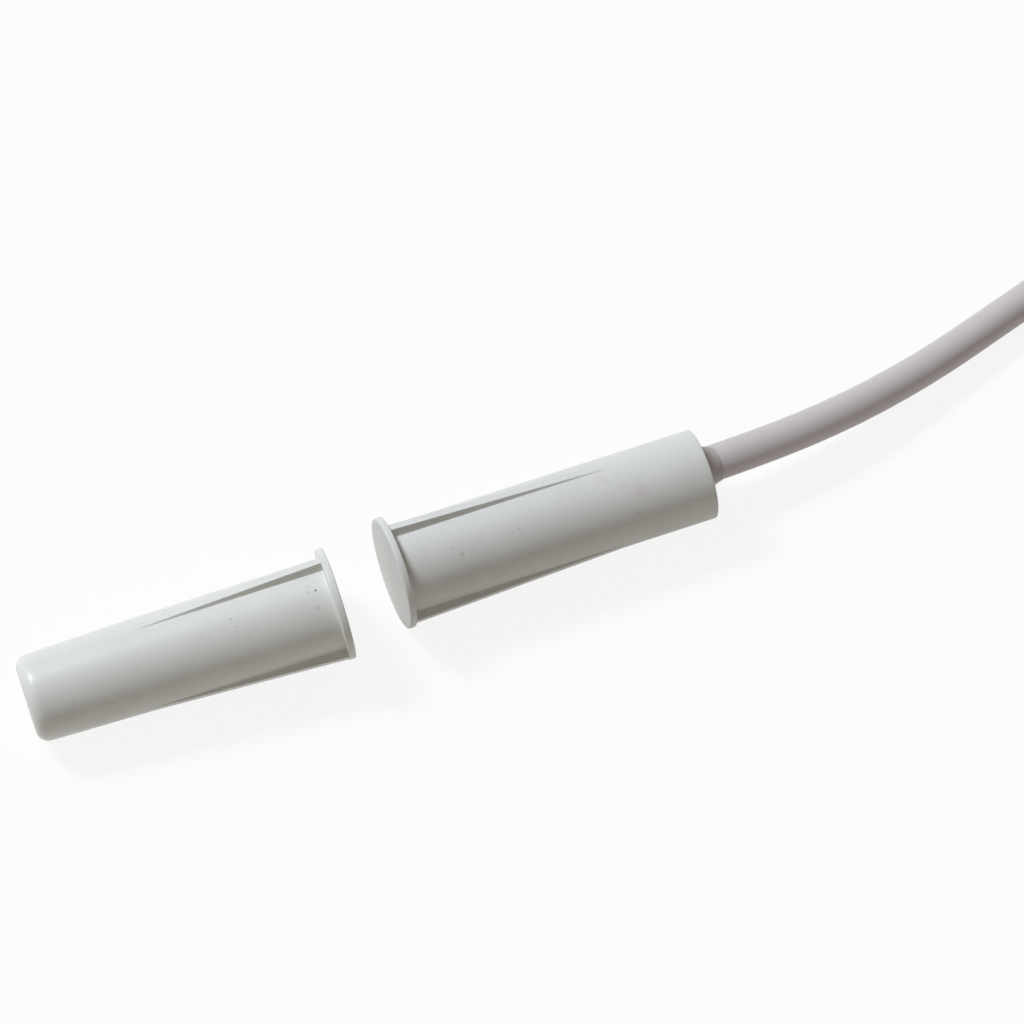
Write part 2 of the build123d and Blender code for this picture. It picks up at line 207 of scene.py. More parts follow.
@dataclass(frozen=True)
class MouldedPlastic(Finish):
    """Injection moulded ABS: even and satin, with a fine spark grain from the mould.

    The real grain is finer and shallower than a pixel shows, so it is drawn coarser and deeper,
    and its crests are painted a little darker, as painted shade that stands in for that relief.
    """

    cloud: str
    cloud_mm: float = 4.0
    grain_mm: float = 0.24
    grain_depth_mm: float = 0.024
    swell_mm: float = 2.4
    swell_depth_mm: float = 0.02
    bump_strength: float = 0.5
    shade_from: float = 0.6
    shade_to: float = 1.4
    roughness_swing: float = 0.05
    ior: float = 1.53
    gloss: float = 0.25
    stains: tuple[Stain, ...] = ()
    stain_heart: float = 0.2  # share of a stain's reach that has its full strength
    stain_fray: float = 2.0  # makes up for the noise that frays it, a half on average
    speck_every_mm: float = 3.2
    speck_colour: str = "#6E6A64"
    speck_dark: float = 0.02  # out to here a speck is whole, as a share of its cell
    speck_edge: float = 0.034  # here it ends
    cells_bare: float = 0.66  # share of the cells without a speck

    def paint(self, tree: NodeTree, spot: NodeSocket) -> Inputs:
        """Clouded colour, stains and specks over a fine grain.

        Args:
            tree: the material's nodes.
            spot: Object coordinates.

        Returns:
            The shader's inputs.
        """
        cloud, grain, swell = (
            add_node(
                tree,
                "ShaderNodeTexNoise",
                {"Vector": spot, "Scale": per_metre(size_mm), "Detail": detail},
            ).outputs[0]
            for size_mm, detail in (
                (self.cloud_mm, 3.0), (self.grain_mm, 2.0), (self.swell_mm, 1.0)
            )
        )
        # the cloud is the plastic's own uneven tone; the grain added to it is painted shade of the
        # relief
        both = add_node(tree, "ShaderNodeMath", {0: cloud, 1: grain})
        shade = add_node(
            tree,
            "ShaderNodeMapRange",
            {"Value": both.outputs[0], "From Min": self.shade_from, "From Max": self.shade_to},
        )
        colour = add_node(
            tree,
            "ShaderNodeMix",
            {0: shade.outputs[0], 6: linear(self.colour), 7: linear(self.cloud)},
            data_type="RGBA",
        ).outputs[2]
        for stain in self.stains:
            colour = self._stained(tree, spot, cloud, colour, stain)
        colour = self._specked(tree, spot, colour)
        relief: dict[int | str, object] = {"Strength": self.bump_strength}
        for height, depth_mm in ((grain, self.grain_depth_mm), (swell, self.swell_depth_mm)):
            relief |= {"Height": height, "Distance": depth_mm * MM}
            relief["Normal"] = add_node(tree, "ShaderNodeBump", relief).outputs[0]
        rough = add_node(
            tree,
            "ShaderNodeMapRange",
            {
                "Value": swell,
                "To Min": self.roughness - self.roughness_swing,
                "To Max": self.roughness + self.roughness_swing,
            },
        )
        return {
            "Base Color": colour,
            "Normal": relief["Normal"],
            "Roughness": rough.outputs[0],
            "IOR": self.ior,
            "Specular IOR Level": self.gloss,
        }

    def _stained(
        self, tree: NodeTree, spot: NodeSocket, cloud: NodeSocket, colour: NodeSocket, stain: Stain
    ) -> NodeSocket:
        """Lays one stain over the colour, fading out to its reach.

        Args:
            tree: the material's nodes.
            spot: Object coordinates.
            cloud: noise that frays the stain.
            colour: the colour so far.
            stain: place, reach, colour and strength.

        Returns:
            The colour with the stain.
        """
        away = add_node(
            tree,
            "ShaderNodeVectorMath",
            {0: spot, 1: Vector(stain.at_mm) * MM},
            operation="DISTANCE",
        )
        near = add_node(
            tree,
            "ShaderNodeMapRange",
            {
                "Value": away.outputs["Value"],
                "From Min": self.stain_heart * stain.reach_mm * MM,
                "From Max": stain.reach_mm * MM,
                "To Min": self.stain_fray * stain.strength,
                "To Max": 0.0,
            },
            interpolation_type="SMOOTHSTEP",
        )
        frayed = add_node(
            tree, "ShaderNodeMath", {0: near.outputs[0], 1: cloud}, operation="MULTIPLY"
        )
        return add_node(
            tree,
            "ShaderNodeMix",
            {0: frayed.outputs[0], 6: colour, 7: linear(stain.colour)},
            data_type="RGBA",
        ).outputs[2]

    def _specked(self, tree: NodeTree, spot: NodeSocket, colour: NodeSocket) -> NodeSocket:
        """Sets a small dark speck in about one cell of three.

        Args:
            tree: the material's nodes.
            spot: Object coordinates.
            colour: the colour so far.

        Returns:
            The colour with specks.
        """
        cells = add_node(
            tree,
            "ShaderNodeTexVoronoi",
            {"Vector": spot, "Scale": per_metre(self.speck_every_mm), "Randomness": 1.0},
        )
        dot = add_node(
            tree,
            "ShaderNodeMapRange",
            {
                "Value": cells.outputs["Distance"],
                "From Min": self.speck_dark,
                "From Max": self.speck_edge,
                "To Min": 1.0,
                "To Max": 0.0,
            },
        )
        chance = add_node(tree, "ShaderNodeSeparateColor", {0: cells.outputs["Color"]})
        chosen = add_node(
            tree,
            "ShaderNodeMath",
            {0: chance.outputs[0], 1: self.cells_bare},
            operation="GREATER_THAN",
        )
        shown = chosen.outputs[0]
        for share in (chance.outputs[1], dot.outputs[0]):
            shown = add_node(
                tree, "ShaderNodeMath", {0: shown, 1: share}, operation="MULTIPLY"
            ).outputs[0]
        return add_node(
            tree,
            "ShaderNodeMix",
            {0: shown, 6: colour, 7: linear(self.speck_colour)},
            data_type="RGBA",
        ).outputs[2]


@dataclass(frozen=True)
class Skin(Finish):
    """What plastics and metals share: a clouded colour over a slightly uneven skin."""

    cloud: str
    cloud_mm: float = 5.0
    cloud_detail: float = 4.0
    bump_mm: float = 1.2
    bump_depth_mm: float = 0.012
    stretch: float = 1.0

    def paint(self, tree: NodeTree, spot: NodeSocket) -> Inputs:
        """Clouds of a second colour, over bumps that are stretched along X.

        Args:
            tree: the material's nodes.
            spot: Object coordinates.

        Returns:
            The shader's inputs.
        """
        drawn = add_node(
            tree, "ShaderNodeMapping", {"Vector": spot, "Scale": (1 / self.stretch, 1.0, 1.0)}
        ).outputs[0]
        cloud, bumps = (
            add_node(
                tree,
                "ShaderNodeTexNoise",
                {"Vector": where, "Scale": per_metre(size_mm), "Detail": detail},
            ).outputs[0]
            for where, size_mm, detail in (
                (spot, self.cloud_mm, self.cloud_detail),
                (drawn, self.bump_mm, 3.0),
            )
        )
        colour = add_node(
            tree,
            "ShaderNodeMix",
            {0: cloud, 6: linear(self.colour), 7: linear(self.cloud)},
            data_type="RGBA",
        )
        uneven = add_node(
            tree,
            "ShaderNodeBump",
            {"Height": bumps, "Strength": 0.6, "Distance": self.bump_depth_mm * MM},
        )
        return {"Base Color": colour.outputs[2], "Normal": uneven.outputs[0]}


@dataclass(frozen=True)
class Polymer(Skin):
    """Extruded or poured plastic: one colour with slow clouds and a soft uneven skin."""

    ior: float = 1.53

    def paint(self, tree: NodeTree, spot: NodeSocket) -> Inputs:
        """A skin with the refraction of a plastic."""
        return {**super().paint(tree, spot), "IOR": self.ior}


@dataclass(frozen=True)
class Metal(Skin):
    """A bare metal whose grain runs along the object, with clouds of light tarnish."""

    cloud_mm: float = 1.5
    cloud_detail: float = 3.0
    bump_mm: float = 0.1
    bump_depth_mm: float = 0.004

    def paint(self, tree: NodeTree, spot: NodeSocket) -> Inputs:
        """A skin that is metallic."""
        return {**super().paint(tree, spot), "Metallic": 1.0}


@dataclass(frozen=True)
class DrawnGlass(Finish):
    """Thin drawn glass tube, sealed in a flame: clear, green from its iron."""

    wave_mm: float = 1.0
    wave_depth_mm: float = 0.02
    ior: float = 1.52

    def paint(self, tree: NodeTree, spot: NodeSocket) -> Inputs:
        """Clear glass with the slight waves of a drawn tube.

        Args:
            tree: the material's nodes.
            spot: Object coordinates.

        Returns:
            The shader's inputs.
        """
        waves = add_node(
            tree,
            "ShaderNodeTexNoise",
            {"Vector": spot, "Scale": per_metre(self.wave_mm), "Detail": 1.0},
        )
        bump = add_node(
            tree,
            "ShaderNodeBump",
            {"Height": waves.outputs[0], "Strength": 0.3, "Distance": self.wave_depth_mm * MM},
        )
        return {"Normal": bump.outputs[0], "Transmission Weight": 1.0, "IOR": self.ior}


@dataclass(frozen=True)
class Laminate(Finish):
    """Glass fibre board under green resist: the weave shows through as a fine check."""

    weave: str
    thread_mm: float = 0.4
    stripes: float = 6.3  # single stripes of a wave texture in one unit of its scale
    waviness: float = 0.4
    ior: float = 1.55

    def paint(self, tree: NodeTree, spot: NodeSocket) -> Inputs:
        """Two crossing sets of threads, a thread apart, under a glossy coat.

        Args:
            tree: the material's nodes.
            spot: Object coordinates.

        Returns:
            The shader's inputs.
        """
        threads = [
            add_node(
                tree,
                "ShaderNodeTexWave",
                {
                    "Vector": spot,
                    "Scale": per_metre(self.thread_mm) / self.stripes,
                    "Distortion": self.waviness,
                },
                bands_direction=way,
            ).outputs[1]
            for way in ("X", "Y")
        ]
        check = add_node(
            tree, "ShaderNodeMath", {0: threads[0], 1: threads[1]}, operation="MULTIPLY"
        )
        colour = add_node(
            tree,
            "ShaderNodeMix",
            {0: check.outputs[0], 6: linear(self.colour), 7: linear(self.weave)},
            data_type="RGBA",
        )
        return {"Base Color": colour.outputs[2], "IOR": self.ior}


class Finishes:
    """All finishes of the contact, each named for what it is and how it was made."""

    # moulded ABS, satin from a spark eroded mould, a little grey; handled, so faint stains
    switch_plastic: ClassVar[MouldedPlastic] = MouldedPlastic(
        name="moulded_abs_pale_grey",
        slot="housing_plastic",
        colour="#D8D8D3",
        cloud="#D0D0CA",
        roughness=0.5,
        stains=(
            Stain((24.2, -0.9, 7.95), 1.0, "#D8A0AC", 0.22),
            Stain((21.2, 1.05, 8.3), 0.8, "#D8A0AC", 0.14),
            Stain((13.0, -0.85, 8.35), 0.22, "#7A766E", 0.28),
            Stain((7.6, -1.4, 8.3), 0.3, "#7A766E", 0.24),
            Stain((23.2, -2.4, 7.0), 0.2, "#7A766E", 0.2),
            Stain((6.95, -0.75, 8.6), 0.22, "#7A766E", 0.16),
            Stain((21.6, 0.6, 8.3), 0.15, "#7A766E", 0.2),
        ),
    )
    # the same plastic from another batch: whiter, with more specks
    magnet_plastic: ClassVar[MouldedPlastic] = MouldedPlastic(
        name="moulded_abs_grey_white",
        slot="housing_plastic",
        colour="#DBDBD5",
        cloud="#D3D3CC",
        roughness=0.37,
        gloss=0.4,
        grain_depth_mm=0.01,
        speck_every_mm=2.4,
        stains=(
            Stain((-5.35, -0.55, 9.02), 0.15, "#1E1C1A", 1.0),
            Stain((-5.97, -0.5, 8.99), 0.13, "#6E6A62", 0.45),
            Stain((-5.86, 0.06, 8.97), 0.13, "#6E6A62", 0.35),
            Stain((-12.95, -0.4, 8.59), 0.14, "#5E5A54", 0.6),
            Stain((-12.9, -1.5, 8.36), 0.14, "#6E6A62", 0.4),
            Stain((-14.55, 0.16, 8.5), 0.13, "#6E6A62", 0.35),
            Stain((-5.7, -2.0, 8.7), 0.3, "#8C8880", 0.2),
            Stain((-27.8, -2.2, 6.64), 0.2, "#8C8880", 0.3),
        ),
    )
    # epoxy poured into the mouth: darker grey, with the smooth skin of a liquid that set
    resin: ClassVar[Polymer] = Polymer(
        name="poured_epoxy_grey",
        slot="potting",
        colour="#AEA6A3",
        cloud="#A59D99",
        roughness=0.38,
        cloud_mm=1.5,
        bump_mm=0.9,
        ior=1.55,
    )
    # extruded PVC sheath: satin grey with a warm cast, faintly uneven along its length
    sheath: ClassVar[Polymer] = Polymer(
        name="extruded_pvc_grey",
        slot="cable_sheath",
        colour="#C7C0C0",
        cloud="#BEB6B4",
        roughness=0.45,
        cloud_mm=7.0,
    )
    # epoxy that held the magnet while it set: amber and glossy
    glue: ClassVar[Polymer] = Polymer(
        name="set_epoxy_amber",
        slot="glue",
        colour="#C9B68A",
        cloud="#B7A272",
        roughness=0.25,
        ior=1.55,
    )
    # alnico cast in a rod and left bare: dark grey, dull and coarse
    magnet_alloy: ClassVar[Metal] = Metal(
        name="cast_alnico_bare",
        slot="magnet_alloy",
        colour="#8C8A86",
        cloud="#6E6A64",
        roughness=0.5,
        bump_mm=0.3,
        bump_depth_mm=0.02,
    )
    # nickel iron blades, rolled flat and annealed: bright, with the rolling grain along them
    reed_strip: ClassVar[Metal] = Metal(
        name="rolled_nickel_iron",
        slot="reed_metal",
        colour="#C4C1BA",
        cloud="#B2AEA5",
        roughness=0.28,
        stretch=8.0,
    )
    # copper foil, etched and left bare: reddish and satin, with a light tarnish
    copper_foil: ClassVar[Metal] = Metal(
        name="etched_copper_foil",
        slot="copper",
        colour="#D08A62",
        cloud="#B8714C",
        roughness=0.35,
    )
    # tin lead solder that flowed and set: bright and smooth
    solder: ClassVar[Metal] = Metal(
        name="flowed_tin_solder",
        slot="solder",
        colour="#CFCFCF",
        cloud="#B9B8B6",
        roughness=0.2,
        bump_mm=0.4,
    )
    # stranded copper dipped in tin: silvery, the strands still showing
    tinned: ClassVar[Metal] = Metal(
        name="tinned_copper_strands",
        slot="tinned_copper",
        colour="#CBC9C4",
        cloud="#AFACA5",
        roughness=0.3,
        bump_mm=0.12,
        bump_depth_mm=0.05,
        stretch=3.0,
    )
    # glass tube, drawn and sealed in a flame: clear and smooth, with a green tinge
    reed_glass: ClassVar[DrawnGlass] = DrawnGlass(
        name="drawn_green_glass", slot="reed_glass", colour="#D5EADB", roughness=0.02
    )
    # fibre glass laminate under resist: glossy green, its weave a faint check
    board: ClassVar[Laminate] = Laminate(
        name="laminate_green_resist",
        slot="board_laminate",
        colour="#1F6B3C",
        weave="#2C7E4A",
        roughness=0.3,
    )

    # share of a core's colour that is left in its darker clouds
    core_dim: ClassVar[float] = 0.93

    @staticmethod
    def core(shade: CoreColour) -> Polymer:
        """Extruded PVC insulation of that core: plain, solid colour, satin."""
        dimmed = (channels(shade.value) * Finishes.core_dim).astype(int)
        return Polymer(
            name=f"extruded_pvc_{shade.word}",
            slot=f"core_{shade.word}",
            colour=shade.value,
            cloud="#{:02X}{:02X}{:02X}".format(*dimmed),
            roughness=0.4,
            cloud_mm=2.0,
            bump_mm=0.6,
            bump_depth_mm=0.005,
        )


@dataclass(frozen=True)
class HousingFrame:
    """Axes of one half, from the middle of its flange's face: along it, up and aside."""

    origin: np.ndarray
    along: np.ndarray
    up: np.ndarray
    side: np.ndarray

    def place(self, along: np.ndarray, up: np.ndarray, side: np.ndarray) -> np.ndarray:
        """Points at those distances along, above and beside the axis, in millimetres."""
        return (
            self.origin
            + along[..., None] * self.along
            + up[..., None] * self.up
            + side[..., None] * self.side
        )


def rounded(corners: Sequence[tuple[float, float, float]], steps: int = 5) -> np.ndarray:
    """A profile with its corners rounded.

    Each corner gives way to an arc that touches both its sides: the arc's middle lies on the
    line that halves the corner, a radius divided by the sine of half the angle away.

    Args:
        corners: x, y and the radius of each corner, 0 for a sharp one.
        steps: points on each arc.

    Returns:
        The profile's points.
    """
    points = np.array(corners, float)
    out: list[np.ndarray] = []
    for k, (x, y, radius) in enumerate(points):
        here = np.array([x, y])
        if radius == 0 or k in (0, len(points) - 1):
            out.append(here[None])
            continue
        to_last = points[k - 1, :2] - here
        to_next = points[k + 1, :2] - here
        to_last, to_next = to_last / np.hypot(*to_last), to_next / np.hypot(*to_next)
        half = np.arccos(np.clip(to_last @ to_next, -1, 1)) / 2
        middle = here + (to_last + to_next) / np.hypot(*(to_last + to_next)) * radius / sin(half)
        first = here + to_last * radius / tan(half) - middle
        last = here + to_next * radius / tan(half) - middle
        share = np.linspace(0, 1, steps)[:, None]
        span = np.arccos(np.clip(first @ last / radius**2, -1, 1))
        arc = np.sin((1 - share) * span) * first + np.sin(share * span) * last
        out.append(middle + arc / np.sin(span))
    return np.concatenate(out)


def spread(profile: np.ndarray, longest: float) -> np.ndarray:
    """The profile with points added, so that no step is longer than that.

    Args:
        profile: points of a line.
        longest: longest step allowed.

    Returns:
        All points, in order along the line.
    """
    run = np.concatenate([[0], np.cumsum(np.hypot(*np.diff(profile, axis=0).T))])
    extra = np.linspace(0, run[-1], int(run[-1] / longest) + 2)
    # an added point too near to one of the profile's own is left out
    extra = extra[np.abs(extra[:, None] - run).min(1) > longest / 4]
    stops = np.sort(np.concatenate([run, extra]))
    return np.stack([np.interp(stops, run, profile[:, 0]), np.interp(stops, run, profile[:, 1])], 1)


def smooth_step(x: np.ndarray) -> np.ndarray:
    """Rises from 0 to 1 between 0 and 1, level at both ends: three x squared less two x cubed."""
    x = np.clip(x, 0, 1)
    return x * x * (3 - 2 * x)


def piece_from_grid(
    name: str, points_mm: np.ndarray, finish: Finish, stands_for: Sequence[str], ring: bool = False
) -> Object:
    """Makes a closed piece of a grid of points that wraps round in its second direction.

    Args:
        name: the piece's name.
        points_mm: rows, columns and coordinates, in millimetres.
        finish: what it is made of.
        stands_for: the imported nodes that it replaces.
        ring: True where the rows wrap round too.

    Returns:
        The piece, riding on the body.
    """
    rows, columns = points_mm.shape[:2]
    r = np.arange(rows if ring else rows - 1)[:, None]
    c = np.arange(columns)[None, :]
    after, beside = (r + 1) % rows, (c + 1) % columns
    quads = np.stack(
        np.broadcast_arrays(
            r * columns + c, r * columns + beside, after * columns + beside, after * columns + c
        ),
        -1,
    ).reshape(-1, 4)
    mesh = bpy.data.meshes.new(name)
    mesh.from_pydata((points_mm.reshape(-1, 3) * MM).tolist(), [], quads.tolist())
    work = bmesh.new()
    work.from_mesh(mesh)
    bmesh.ops.remove_doubles(work, verts=work.verts, dist=MERGE_MM * MM)
    bmesh.ops.recalc_face_normals(work, faces=work.faces)
    work.to_mesh(mesh)
    work.free()
    mesh.shade_smooth()
    mesh.set_sharp_from_angle(angle=SHARP_ANGLE)
    piece = new_object(name, mesh)
    even = piece.modifiers.new("even_normals", "WEIGHTED_NORMAL")
    even.keep_sharp = True
    finish.dress(piece)
    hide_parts(*stands_for)
    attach(piece, BODY)
    return piece


@dataclass
class Thimble:
    """A moulded barrel with a flange and three tapered ribs. Sizes are in millimetres.

    The face's middle gives its place. Its heading is the direction of its axis seen from above,
    and each rib's roll its angle from straight up, towards the frame's side, all in degrees.
    """

    inner_nodes: ClassVar[Mapping[str, Finish]]
    # where the surface is cut at a rib's edge, in widths of that edge
    edge_cuts: ClassVar[tuple[float, ...]] = (-3, -1, -0.6, -0.2, 0.2, 0.6, 1, 3)
    # past this angle, in radians, a point is beside no rib
    beside_none: ClassVar[float] = 1.0

    length: float
    flange_d: float
    flange_t: float
    root_r: float
    tail_r: float
    rear_r: float
    rib_length: float
    rib_rolls: tuple[float, ...]
    plastic: MouldedPlastic
    face_x: float
    face_y: float
    heading: float
    rib_width: float = 0.9
    rib_height: float = 0.72
    rib_edge: float = 0.05
    rib_margin: float = 1.2
    rim_round: float = 0.12
    root_round: float = 0.12
    flange_round: float = 0.1
    bore_round: float = 0.3
    columns: int = 120
    small_columns: int = 96
    longest: float = 0.7

    @property
    def flange_r(self) -> float:
        """Radius of the flange."""
        return self.flange_d / 2

    @property
    def tilt(self) -> float:
        """Fall of the axis, in radians; each half has its own."""
        raise NotImplementedError

    def frame(self) -> HousingFrame:
        """Where the half lies, leaning on the back edge of its flange.

        Its axis falls from the flange to the rear by the tilt, and the flange's back edge
        touches the surface, which gives the height of the face's middle.

        Returns:
            The frame, in millimetres.
        """
        tilt, heading = self.tilt, radians(self.heading)
        height = self.flange_r * cos(tilt) + self.flange_t * sin(tilt)
        along = np.array([cos(heading) * cos(tilt), sin(heading) * cos(tilt), -sin(tilt)])
        up = np.array([cos(heading) * sin(tilt), sin(heading) * sin(tilt), cos(tilt)])
        return HousingFrame(
            np.array([self.face_x, self.face_y, height]), along, up, np.cross(along, up)
        )

    def profile(self) -> np.ndarray:
        """Distance along and radius of the turned shape, from inside to outside."""
        raise NotImplementedError

    def around(self) -> tuple[np.ndarray, np.ndarray, np.ndarray]:
        """The angles at which the turned shape is cut.

        They are even all round, save at each rib, where they crowd at its two edges.

        Returns:
            The angles, each one's share of a rib, and the angle of the rib nearest to it.
        """
        middles = np.radians(self.rib_rolls)
        edge = self.rib_width / 2 + self.rib_edge * np.array(self.edge_cuts)
        reach = np.arcsin(np.concatenate([-edge[::-1], [0.0], edge]) / self.root_r)
        even = np.linspace(0, 2 * pi, self.columns, endpoint=False)
        apart = np.angle(np.exp(1j * (even[:, None] - middles)))
        even = even[np.abs(apart).min(1) > reach[-1] * self.rib_margin]
        angles = np.sort(np.concatenate([even, (middles[:, None] + reach).ravel()]) % (2 * pi))
        apart = np.angle(np.exp(1j * (angles[:, None] - middles)))
        nearest = np.abs(apart).argmin(1)
        aside = self.root_r * np.abs(np.sin(apart[np.arange(len(angles)), nearest]))
        aside[np.abs(apart).min(1) > self.beside_none] = self.root_r
        share = smooth_step((self.rib_width / 2 + self.rib_edge - aside) / (2 * self.rib_edge))
        return angles, share, middles[nearest]

    def surface(self) -> np.ndarray:
        """The turned shape with its ribs, as a grid of points.

        A point of the turned shape lies at its profile's radius. Within a rib it moves
        straight out from the rib's foot, by the rib's share of what the flat top of the rib,
        which falls evenly to the barrel at its end, stands over it.

        Returns:
            Rows along the profile, columns round it, and coordinates.
        """
        line = spread(self.profile(), self.longest)
        angles, share, middle = self.around()
        along, radius = line[:, :1], line[:, 1:]
        out = radius * np.cos(angles - middle)
        beside = radius * np.sin(angles - middle)
        run = (along - self.flange_t) / self.rib_length
        top = (self.root_r + self.rib_height) * (1 - run) + self.tail_r * run
        on_barrel = (run > -HAIR) & (run < 1) & (radius > self.rear_r - HAIR)
        out = out + np.where(on_barrel, share * np.maximum(top - out, 0), 0)
        up = out * np.cos(middle) - beside * np.sin(middle)
        side = out * np.sin(middle) + beside * np.cos(middle)
        return self.frame().place(np.broadcast_to(along, up.shape), up, side)

    def build(self, name: str, node: str) -> Object:
        """The moulded housing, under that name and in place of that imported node."""
        return piece_from_grid(name, self.surface(), self.plastic, [node])

    def dress_inner(self) -> None:
        """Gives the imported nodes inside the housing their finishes."""
        for node, finish in self.inner_nodes.items():
            finish.dress(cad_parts[node])


@dataclass
class SwitchHalf(Thimble):
    """The half with the reed switch: closed at the flange, its open rear filled with resin."""

    length: float = 28.6
    flange_d: float = 9.9
    flange_t: float = 0.6
    root_r: float = 4.0
    tail_r: float = 4.0
    rear_r: float = 4.0
    rib_length: float = 19.8
    rib_rolls: tuple[float, ...] = (-29.0, 101.0, 216.0)
    plastic: MouldedPlastic = Finishes.switch_plastic
    face_x: float = 1.7587
    face_y: float = 0.5
    heading: float = 0.0
    front_wall: float = 0.9
    wall: float = 0.8
    mouth_chamfer: float = 0.15
    chamfer_round: float = 0.04
    mouth_round: float = 0.06
    cable_r: float = 1.6
    cable_up: float = 0.45
    cable_side: float = -0.35
    resin_recess: float = 0.5
    resin_length: float = 5.6
    foot_climb: float = 2.0
    foot_spread: float = 0.6
    foot_thinning: float = 0.74
    foot_fuller: float = 0.18
    foot_low_side: float = 116.0
    foot_sunk: float = 0.03
    lip_in: float = 0.02
    lip_down: float = 0.25
    wall_climb: float = 0.16
    wall_spread: float = 0.15
    inner_nodes: ClassVar[Mapping[str, Finish]] = {
        "circuit_board": Finishes.board,
        "board_tracks": Finishes.copper_foil,
        "reed_glass": Finishes.reed_glass,
        "reed_blade_front": Finishes.reed_strip,
        "reed_blade_rear": Finishes.reed_strip,
        "solder_joints": Finishes.solder,
        "bare_wires": Finishes.copper_foil,
        **{f"core_{shade.word}": Finishes.core(shade) for shade in CoreColour},
    }

    @property
    def tilt(self) -> float:
        """Fall of the axis, from the flange's back edge to the edge of the mouth."""
        return atan2(self.flange_r - self.rear_r, self.length - self.flange_t)

    def profile(self) -> np.ndarray:
        """From the inside of the front wall along the bore, over the mouth and back outside.

        Returns:
            Distance along and radius of each point.
        """
        bore = self.rear_r - self.wall
        chamfer = self.mouth_chamfer
        return rounded(
            [
                (self.front_wall, 0, 0),
                (self.front_wall, bore, self.bore_round),
                (self.length - chamfer, bore, self.chamfer_round),
                (self.length, bore + chamfer, self.chamfer_round),
                (self.length, self.rear_r, self.mouth_round),
                (self.flange_t, self.root_r, self.root_round),
                (self.flange_t, self.flange_r, self.flange_round),
                (0, self.flange_r, self.rim_round),
                (0, 0, 0),
            ]
        )

    def build_resin(self) -> Object:
        """The resin plug, which climbs the cable in a foot and wets the wall.

        Its surface is worked out round the cable. From the cable to the wall its height over
        the sunk face falls as e to the power of minus the share of the foot's spread, that
        share raised to less than one, so that the foot thins out along the cable, times one
        minus the square of the way to the wall, so that it is flat there. It rises again at
        the wall, by e to the power of minus the distance over the wall's own spread.
        The foot is fuller on its lower side. Under its edge at the cable, the skin turns down
        a little inside the sheath. The rows of points crowd at the cable and at the wall.

        Returns:
            The piece.
        """
        bore = self.rear_r - self.wall
        turn = np.linspace(0, 2 * pi, self.small_columns, endpoint=False)
        way_up, way_side = np.cos(turn), np.sin(turn)
        inwards = self.cable_up * way_up + self.cable_side * way_side
        offset = self.cable_up**2 + self.cable_side**2
        wall_r = -inwards + np.sqrt(bore**2 - offset + inwards**2)
        at_cable = np.linspace(0, 0.93, 30) ** 2.4  # rows, as shares of the way to the wall
        at_wall = np.linspace(0.88, 1, 7)
        share = np.concatenate([at_cable, at_wall])[::-1, None]
        start_r = self.cable_r - self.foot_sunk
        radius = start_r + (wall_r - start_r) * share
        fuller = self.foot_fuller * np.cos(turn - radians(self.foot_low_side))
        out = ((radius - start_r) / (self.foot_spread * (1 + fuller))) ** self.foot_thinning
        climb = self.foot_climb * np.exp(-out) * (1 - share**2)
        wet = self.wall_climb * np.exp(-(wall_r - radius) / self.wall_spread)
        face = self.length - self.resin_recess
        top = face + climb + wet
        back = face - self.resin_length
        inner = np.full((1, len(turn)), start_r)
        radii = np.concatenate([inner, wall_r[None], radius, inner - self.lip_in])
        heights = np.concatenate([np.full((2, len(turn)), back), top, top[-1:] - self.lip_down])
        grid = self.frame().place(
            heights, self.cable_up + radii * way_up, self.cable_side + radii * way_side
        )
        return piece_from_grid("resin_foot", grid, Finishes.resin, ["potting_resin"], ring=True)


